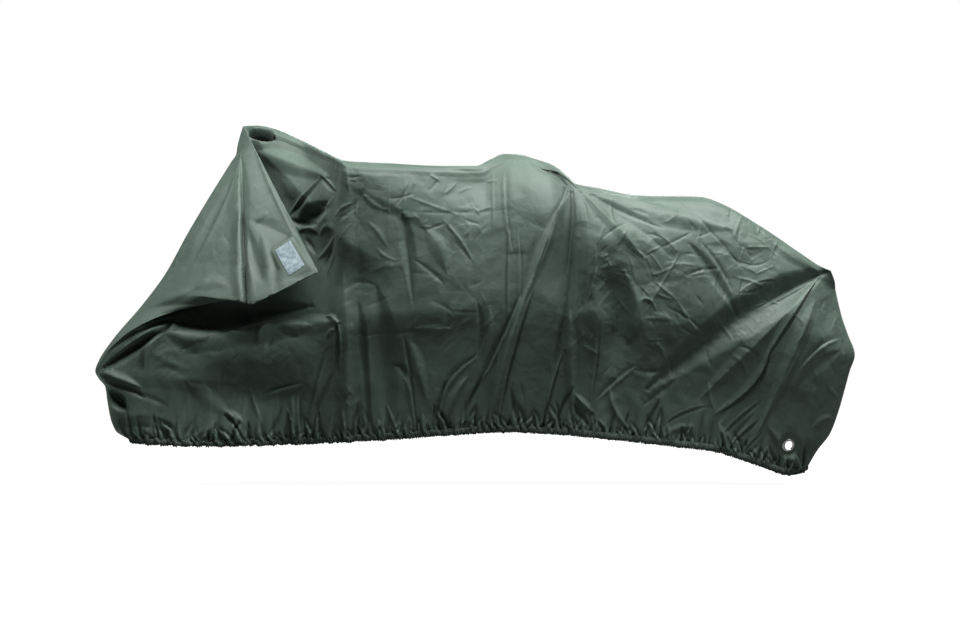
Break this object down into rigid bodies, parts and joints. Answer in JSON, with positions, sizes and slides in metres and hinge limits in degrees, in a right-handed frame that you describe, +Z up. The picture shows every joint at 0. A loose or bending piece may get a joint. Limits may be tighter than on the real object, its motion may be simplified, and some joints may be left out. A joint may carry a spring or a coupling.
{
  "type": "bicycle cover",
  "caption": "Fitted weather cover for a tandem bicycle: draped coated cloth with an overlapping front pleat, a gathered elastic hem, metal eyelets and a sewn patch.",
  "frame": {"origin": "underside of the cover's top, over the middle support it hangs from, on the middle plane", "axes": "+X to the rear end of the cover, +Y to its far side (the side away from the front pleat), +Z up"},
  "size_m": [2.5564, 0.5715, 1.1956],
  "materials": {
    "cover_cloth": "dark green coated polyester, soft sheen",
    "label_cloth": "pale satin weave",
    "eyelet_metal": "bright nickel"
  },
  "bodies": {
    "root": {"cover": "cover_cloth", "label": "label_cloth", "eyelet_near": "eyelet_metal", "eyelet_far": "eyelet_metal"}
  },
  "joints": []
}
